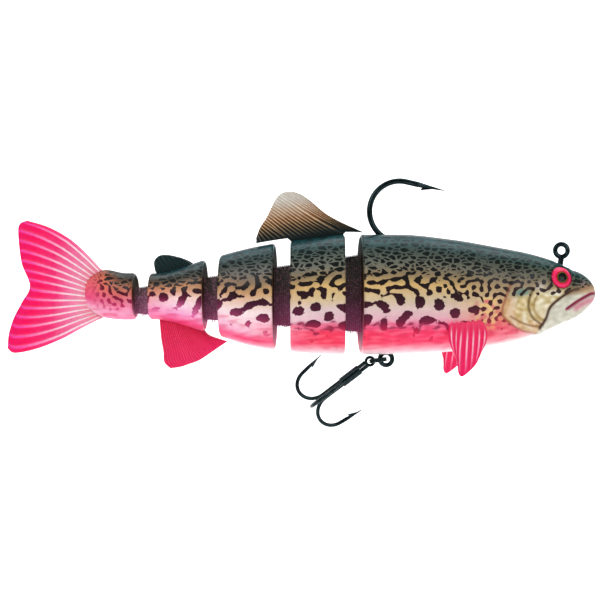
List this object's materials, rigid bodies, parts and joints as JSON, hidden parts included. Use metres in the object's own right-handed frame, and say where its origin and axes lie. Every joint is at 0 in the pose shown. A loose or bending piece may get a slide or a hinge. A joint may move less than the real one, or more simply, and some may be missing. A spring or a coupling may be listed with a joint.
{
  "type": "jointed swimbait",
  "caption": "Jointed soft trout swimbait: body segments on a woven web, fins, weighted jig hook with line eye, and a treble on a split ring.",
  "frame": {"origin": "centre of the line eye above the head", "axes": "+X out of the nose, +Z out of the back, +Y out of the left flank"},
  "size_m": [0.1817, 0.0399, 0.0765],
  "materials": {
    "head_skin": "glossy painted soft plastic, spotted, dark back, cream cheek, pink belly",
    "body_skin": "glossy painted soft plastic, spotted, dark back, pink belly",
    "pink_fin": "glossy soft plastic, hot pink, rayed",
    "tail_fin": "glossy soft plastic, hot pink with pale rays",
    "dorsal_fin": "translucent soft plastic, dark root fading to smoky grey, rayed",
    "dark_fin": "glossy soft plastic, dark teal, ribbed",
    "web": "fine woven net, dark at the top, plum below",
    "iris": "printed red iris with a plain round pupil",
    "eye_dome": "clear cast dome",
    "lead": "bare cast lead",
    "black_nickel": "polished black nickel"
  },
  "bodies": {
    "head": {"head_body": "head_skin", "lead_weight": "lead", "jig_hook": "black_nickel", "belly_hanger": "black_nickel", "eye_base_left": "iris", "eye_base_right": "iris", "eye_lens_left": "eye_dome", "eye_lens_right": "eye_dome", "pectoral_fin_left": "pink_fin", "pectoral_fin_right": "pink_fin", "web_head": "web"},
    "shoulder": {"shoulder_body": "body_skin", "web_shoulder": "web", "dorsal_fin": "dorsal_fin"},
    "middle": {"middle_body": "body_skin", "web_middle": "web"},
    "rear": {"rear_body": "body_skin", "web_rear": "web", "adipose_fin": "dark_fin", "anal_fin": "pink_fin"},
    "tail": {"tail_body": "body_skin", "web_tail": "web", "caudal_fin": "tail_fin"},
    "ring": {"split_ring": "black_nickel"},
    "treble": {"treble_double_hook": "black_nickel", "treble_third_hook": "black_nickel", "treble_braze": "black_nickel"}
  },
  "joints": [
    {"name": "shoulder_joint", "type": "hinge", "parent": "head", "child": "shoulder", "pos_m": [-0.06481, 0, -0.0135], "axis": [0, 0, 1], "range_deg": [-15, 25]},
    {"name": "middle_joint", "type": "hinge", "parent": "shoulder", "child": "middle", "pos_m": [-0.08617, 0.00187, -0.0135], "axis": [0, 0, 1], "range_deg": [-15, 25]},
    {"name": "rear_joint", "type": "hinge", "parent": "middle", "child": "rear", "pos_m": [-0.10743, 0.00562, -0.0135], "axis": [0, 0, 1], "range_deg": [-20, 24]},
    {"name": "tail_joint", "type": "hinge", "parent": "rear", "child": "tail", "pos_m": [-0.1287, 0.01014, -0.0135], "axis": [0, 0, 1], "range_deg": [-23, 33]},
    {"name": "ring_swing", "type": "hinge", "parent": "head", "child": "ring", "pos_m": [-0.05451, 0, -0.03334], "axis": [0, -1, 0], "range_deg": [0, 50]},
    {"name": "treble_swing", "type": "hinge", "parent": "ring", "child": "treble", "pos_m": [-0.05946, 0, -0.03404], "axis": [0, -1, 0], "range_deg": [0, 45]}
  ]
}
